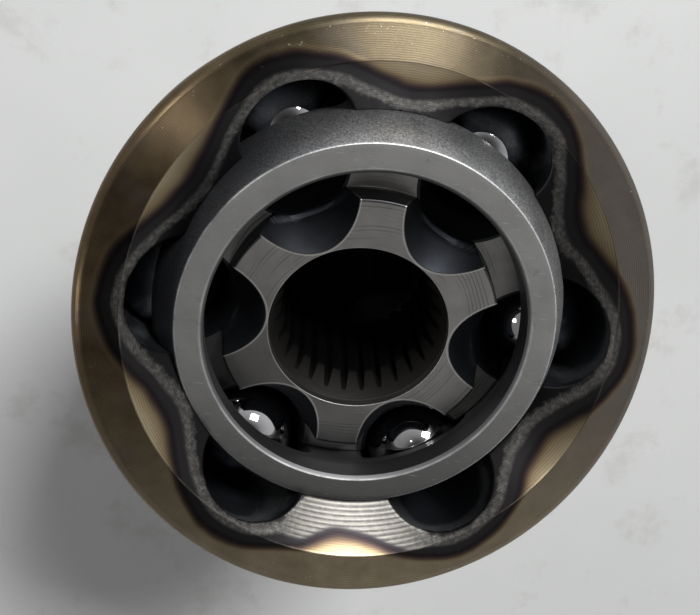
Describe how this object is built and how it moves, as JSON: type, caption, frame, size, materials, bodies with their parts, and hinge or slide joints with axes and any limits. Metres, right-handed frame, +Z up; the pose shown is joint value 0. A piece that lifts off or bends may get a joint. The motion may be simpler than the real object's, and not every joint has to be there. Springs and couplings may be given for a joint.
{
  "type": "constant velocity joint",
  "caption": "Fixed ball-type constant-velocity joint: bell-shaped outer race with a splined stub shaft, cage, splined inner race and steel balls; the inner race swivels in the bell.",
  "frame": {"origin": "centre of the stub shaft's end face", "axes": "+Z up along the outer race and its stub shaft, towards the bell's mouth; +X is the axis about which the inner race swivels"},
  "size_m": [0.09, 0.09, 0.1374],
  "materials": {
    "outer_race_steel": "turned and induction hardened, heat tinted",
    "cage_steel": "ground satin",
    "inner_race_steel": "turned and ground",
    "ball_steel": "polished bearing steel"
  },
  "bodies": {
    "outer_race": {"outer_race": "outer_race_steel"},
    "inner_race": {"inner_race": "inner_race_steel"},
    "cage": {"cage": "cage_steel"},
    "ball_1": {"ball_1": "ball_steel"},
    "ball_2": {"ball_2": "ball_steel"},
    "ball_3": {"ball_3": "ball_steel"},
    "ball_4": {"ball_4": "ball_steel"},
    "ball_5": {"ball_5": "ball_steel"},
    "ball_6": {"ball_6": "ball_steel"}
  },
  "joints": [
    {"name": "articulation", "type": "hinge", "parent": "outer_race", "child": "inner_race", "pos_m": [0, 0, 0.115], "axis": [1, 0, 0], "range_deg": [-59.8, 26.2]},
    {"name": "cage_follow", "type": "hinge", "parent": "outer_race", "child": "cage", "pos_m": [0, 0, 0.115], "axis": [1, 0, 0], "range_deg": [-30.5, 13.6]},
    {"name": "ball_1_roll", "type": "hinge", "parent": "outer_race", "child": "ball_1", "pos_m": [-0.00037, 0.00506, 0.11884], "axis": [-0.3484, 0.9373, 0.0065], "range_deg": [-5.2, 11.4]},
    {"name": "ball_2_roll", "type": "hinge", "parent": "cage", "child": "ball_2", "pos_m": [0.00258, 0.03122, 0.11962], "axis": [0, -0.1461, 0.9893], "range_deg": [-41.1, 18.2]},
    {"name": "ball_3_roll", "type": "hinge", "parent": "outer_race", "child": "ball_3", "pos_m": [-0.0008, 0.00064, 0.11874], "axis": [-0.647, -0.7624, -0.0058], "range_deg": [-9.3, 20.7]},
    {"name": "ball_4_roll", "type": "hinge", "parent": "outer_race", "child": "ball_4", "pos_m": [-0.00255, 0.00243, 0.1189], "axis": [0.3925, -0.9197, 0.0061], "range_deg": [-11.3, 5.2]},
    {"name": "ball_5_roll", "type": "hinge", "parent": "cage", "child": "ball_5", "pos_m": [-0.00256, -0.03124, 0.11038], "axis": [0, -0.1461, 0.9893], "range_deg": [-18.1, 40.8]},
    {"name": "ball_6_roll", "type": "hinge", "parent": "outer_race", "child": "ball_6", "pos_m": [-0.00253, -0.005, 0.1189], "axis": [0.6752, 0.7376, -0.0037], "range_deg": [-21, 9.4]}
  ],
  "couplings": [
    {"joint": "cage_follow", "follows": "articulation", "ratio": 0.5},
    {"joint": "ball_1_roll", "follows": "articulation", "ratio": -0.1846},
    {"joint": "ball_2_roll", "follows": "articulation", "ratio": 0.6813},
    {"joint": "ball_3_roll", "follows": "articulation", "ratio": -0.3397},
    {"joint": "ball_4_roll", "follows": "articulation", "ratio": 0.1837},
    {"joint": "ball_5_roll", "follows": "articulation", "ratio": -0.6771},
    {"joint": "ball_6_roll", "follows": "articulation", "ratio": 0.3445}
  ]
}
